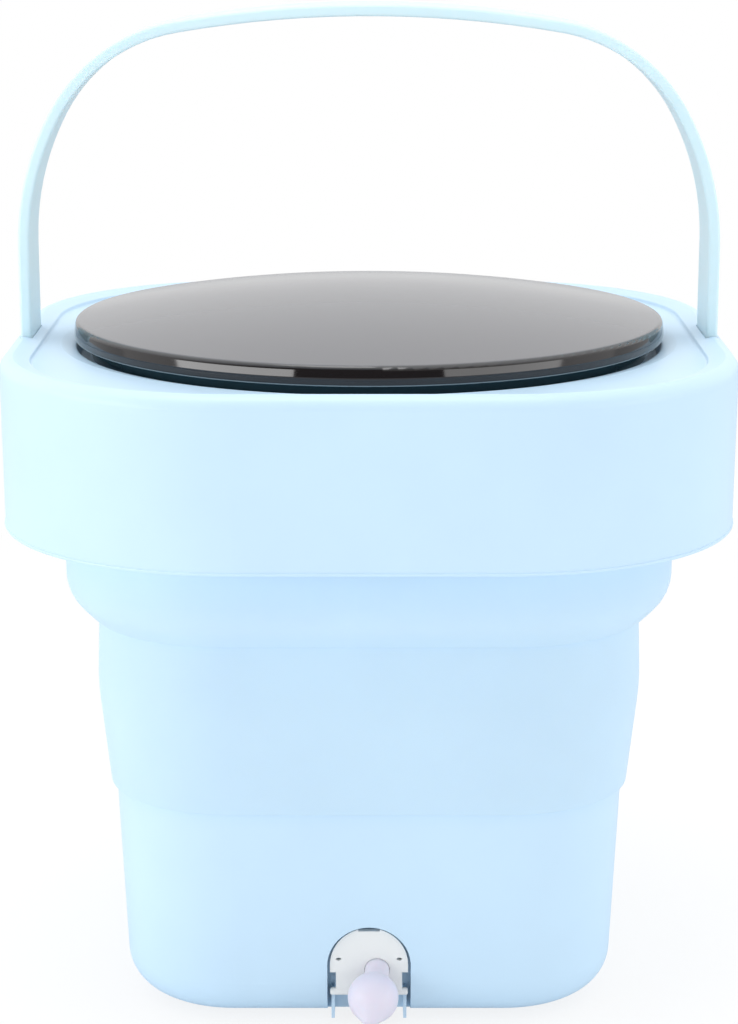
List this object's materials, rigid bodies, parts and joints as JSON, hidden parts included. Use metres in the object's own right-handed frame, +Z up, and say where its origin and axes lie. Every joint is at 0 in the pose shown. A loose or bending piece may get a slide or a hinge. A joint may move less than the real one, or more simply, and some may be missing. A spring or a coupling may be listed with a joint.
{
  "type": "foldable washing machine",
  "caption": "Portable washing machine with a hard base, a soft folding tub wall, a wide rounded-square head, a smoked lift-off lid and a tall strap handle.",
  "frame": {"origin": "on the floor, under the middle of the base", "axes": "+Z up, -Y towards the drain port (front), +X to the right when the drain port is faced"},
  "size_m": [0.2692, 0.2692, 0.3683],
  "materials": {
    "shell_blue": "satin moulded plastic, pale sky blue",
    "handle_blue": "satin moulded plastic, pale sky blue",
    "bellows_blue": "soft moulded elastomer, pale sky blue",
    "lid_smoke": "polished smoke-tinted clear plastic",
    "lid_dark": "smooth dark plastic",
    "seal_grey": "soft grey rubber",
    "foot_rubber": "pale grey rubber",
    "drain_white": "white moulded plastic",
    "spout_soft": "soft silicone, white with a lilac tone",
    "panel_white": "white moulded plastic",
    "board_green": "lacquered circuit board",
    "switch_black": "matt black plastic",
    "lens_clear": "clear light guide",
    "lead_black": "flexible cable sheath",
    "motor_grey": "grey painted steel can",
    "steel": "zinc-plated steel"
  },
  "bodies": {
    "base": {"base_shell": "shell_blue", "tub_pan": "shell_blue", "base_feet": "foot_rubber", "pan_screws": "steel", "motor_body": "motor_grey", "motor_plate": "steel", "motor_screws": "steel", "plate_screws": "steel", "shaft_bearing": "steel", "shaft_seal": "seal_grey", "drain_strainer": "drain_white", "drain_elbow": "drain_white", "spout_seal": "seal_grey", "drain_plate": "drain_white", "drain_spout": "spout_soft", "control_panel": "panel_white", "circuit_board": "board_green", "board_screws": "steel", "button_switch": "switch_black", "indicator_lens": "lens_clear", "power_socket": "switch_black", "motor_lead": "lead_black", "lower_clamp_ring": "shell_blue", "lower_clamp_screws": "steel", "bellows": "bellows_blue"},
    "head": {"head_shell": "shell_blue", "head_base": "shell_blue", "head_screws": "steel", "mouth_liner": "shell_blue", "upper_clamp_ring": "shell_blue", "upper_clamp_screws": "steel", "handle_guides": "shell_blue", "guide_screws": "steel"},
    "handle": {"handle": "handle_blue", "handle_catches": "handle_blue", "catch_screws": "steel"},
    "lid": {"lid_cover": "lid_smoke", "lid_plug": "lid_dark", "lid_seal": "seal_grey", "lid_screws": "steel"},
    "pulsator": {"pulsator": "shell_blue", "drive_shaft": "steel", "pulsator_screw": "steel", "pulsator_cap": "shell_blue"},
    "power_button": {"power_button": "panel_white"},
    "drain_cap": {"drain_cap": "spout_soft"}
  },
  "joints": [
    {"name": "collapse", "type": "slide", "parent": "base", "child": "head", "axis": [0, 0, 1], "range_m": [-0.12, 0], "deforming": ["bellows"]},
    {"name": "handle_slide", "type": "slide", "parent": "head", "child": "handle", "axis": [0, 0, 1], "range_m": [-0.038, 0]},
    {"name": "lid_lift", "type": "slide", "parent": "head", "child": "lid", "axis": [0, 0, 1], "range_m": [0, 0.04]},
    {"name": "pulsator_spin", "type": "hinge", "parent": "base", "child": "pulsator", "pos_m": [0, 0, 0.05], "axis": [0, 0, 1], "continuous": true},
    {"name": "power_button_press", "type": "slide", "parent": "base", "child": "power_button", "axis": [0, -1, 0], "range_m": [0, 0.001], "stiffness_N_per_m": 300, "springref_m": -0.002},
    {"name": "drain_cap_pull", "type": "slide", "parent": "base", "child": "drain_cap", "axis": [-0.1297, -0.8188, -0.5592], "range_m": [0, 0.01]}
  ]
}
